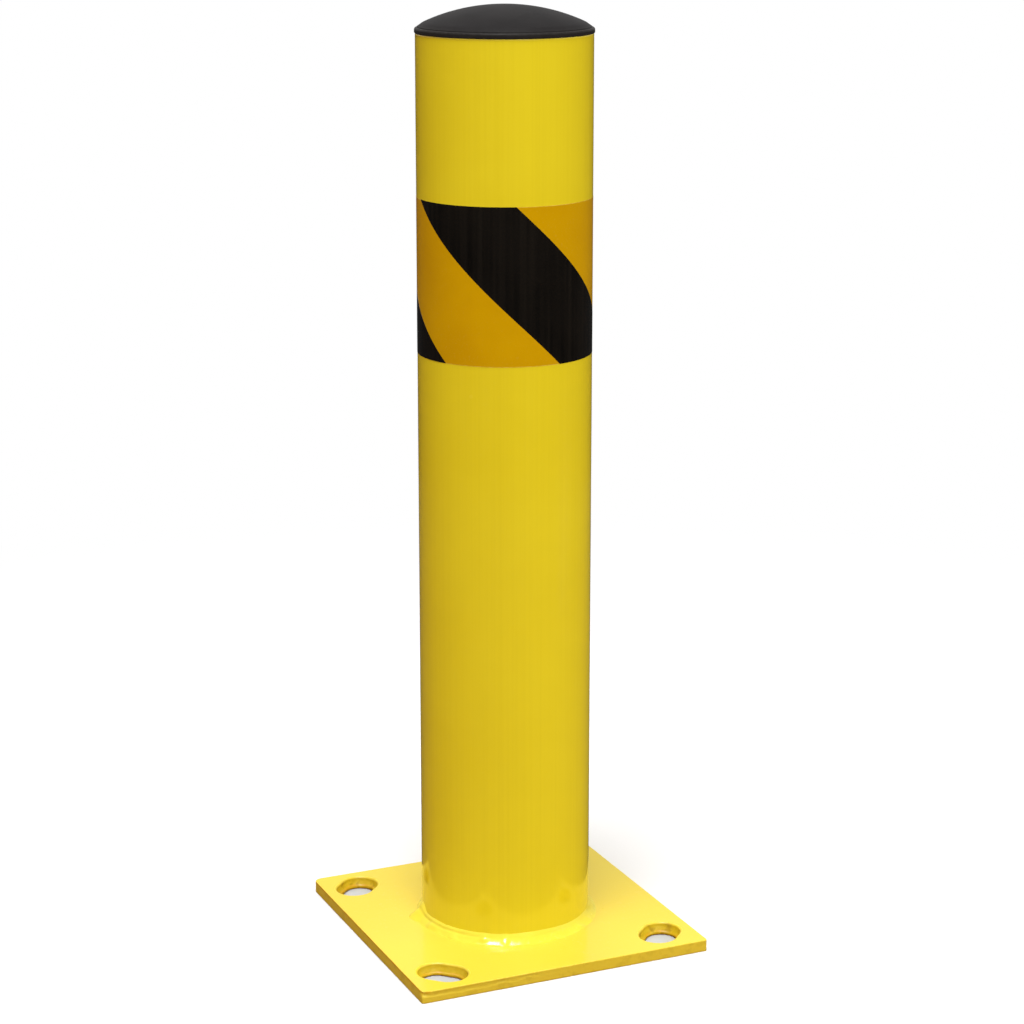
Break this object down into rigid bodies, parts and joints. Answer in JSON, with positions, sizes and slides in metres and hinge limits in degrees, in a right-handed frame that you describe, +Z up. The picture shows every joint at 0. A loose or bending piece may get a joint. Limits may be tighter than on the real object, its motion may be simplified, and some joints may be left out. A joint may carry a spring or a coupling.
{
  "type": "safety bollard",
  "caption": "Round steel post welded upright on a square anchor plate with slotted corners, wrapped with slanted hazard tape and closed by a domed push-in cap.",
  "frame": {"origin": "middle of the anchor plate's underside, on the post's axis", "axes": "+Z up the post, X and Y along the plate's sides"},
  "size_m": [0.206, 0.206, 0.6228],
  "materials": {
    "yellow_paint": "semi-gloss yellow powder coat over steel",
    "amber_film": "glossy amber adhesive film",
    "black_print": "glossy black printed stripes",
    "black_plastic": "satin black moulded plastic"
  },
  "bodies": {
    "root": {"base_plate": "yellow_paint", "pipe": "yellow_paint", "weld_bead": "yellow_paint", "tape_band": "amber_film", "tape_stripes": "black_print", "dome_cap": "black_plastic"}
  },
  "joints": []
}
